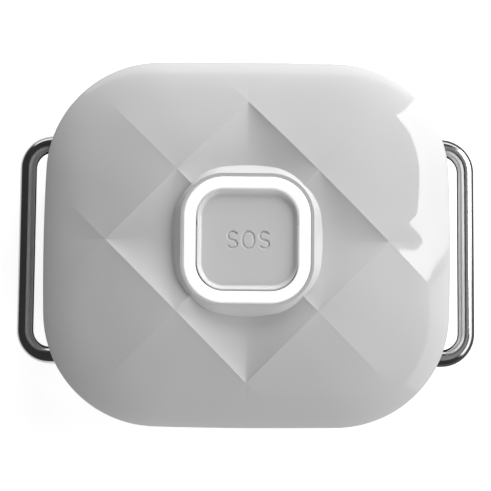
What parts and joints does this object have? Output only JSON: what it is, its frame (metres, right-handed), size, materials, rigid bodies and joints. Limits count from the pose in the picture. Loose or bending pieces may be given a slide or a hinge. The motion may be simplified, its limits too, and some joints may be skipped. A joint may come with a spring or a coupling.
{
  "type": "gps tracker",
  "caption": "Small wearable locator: a white faceted housing with a lit square call button in a raised collar, and a hinged steel wire loop on each side for a strap.",
  "frame": {"origin": "centre of the flat back of the housing, on the surface it rests on", "axes": "+X to the right of the face across the strap loops, +Y to the top of the face, +Z out of the face along the button's axis"},
  "size_m": [0.0518, 0.0404, 0.0146],
  "materials": {
    "cover_white": "gloss",
    "diffuser": "satin, lit from below",
    "button_white": "satin",
    "seal_rubber": "matte",
    "loop_steel": "polished",
    "screw_steel": "satin",
    "contact_plating": "polished",
    "board_laminate": "satin",
    "chip_black": "matte",
    "switch_black": "matte",
    "plunger_plastic": "matte",
    "lamp_plastic": "satin",
    "shield_metal": "satin",
    "antenna_ceramic": "matte",
    "antenna_film": "satin",
    "spring_metal": "satin",
    "card_plastic": "satin",
    "motor_metal": "satin",
    "cell_foil": "satin",
    "pad_foam": "matte",
    "flex_film": "satin",
    "frame_plastic": "matte"
  },
  "bodies": {
    "housing": {"front_cover": "cover_white", "rear_cover": "cover_white", "housing_seal": "seal_rubber", "light_ring": "diffuser", "switch_body": "switch_black", "main_board": "board_laminate", "ring_leds": "lamp_plastic", "radio_shield": "shield_metal", "processor_chip": "chip_black", "power_chip": "chip_black", "motion_sensor": "chip_black", "gnss_antenna": "antenna_ceramic", "cellular_antenna": "antenna_film", "antenna_springs": "spring_metal", "sim_holder": "shield_metal", "sim_card": "card_plastic", "vibration_motor": "motor_metal", "battery": "cell_foil", "battery_pad": "pad_foam", "battery_flex": "flex_film", "inner_frame": "frame_plastic", "housing_screws": "screw_steel", "charging_contacts": "contact_plating", "spring_pins": "contact_plating"},
    "button": {"call_button": "button_white", "button_seal": "seal_rubber", "switch_plunger": "plunger_plastic"},
    "loop_left": {"strap_loop_left": "loop_steel"},
    "loop_right": {"strap_loop_right": "loop_steel"}
  },
  "joints": [
    {"name": "button_press", "type": "slide", "parent": "housing", "child": "button", "axis": [0, 0, -1], "range_m": [0, 0.0004], "stiffness_N_per_m": 1500, "springref_m": -0.0004},
    {"name": "loop_right_swing", "type": "hinge", "parent": "housing", "child": "loop_right", "pos_m": [0.0176, 0, 0.0035], "axis": [0, 1, 0], "range_deg": [0, 70]},
    {"name": "loop_left_swing", "type": "hinge", "parent": "housing", "child": "loop_left", "pos_m": [-0.0176, 0, 0.0035], "axis": [0, -1, 0], "range_deg": [0, 70]}
  ]
}
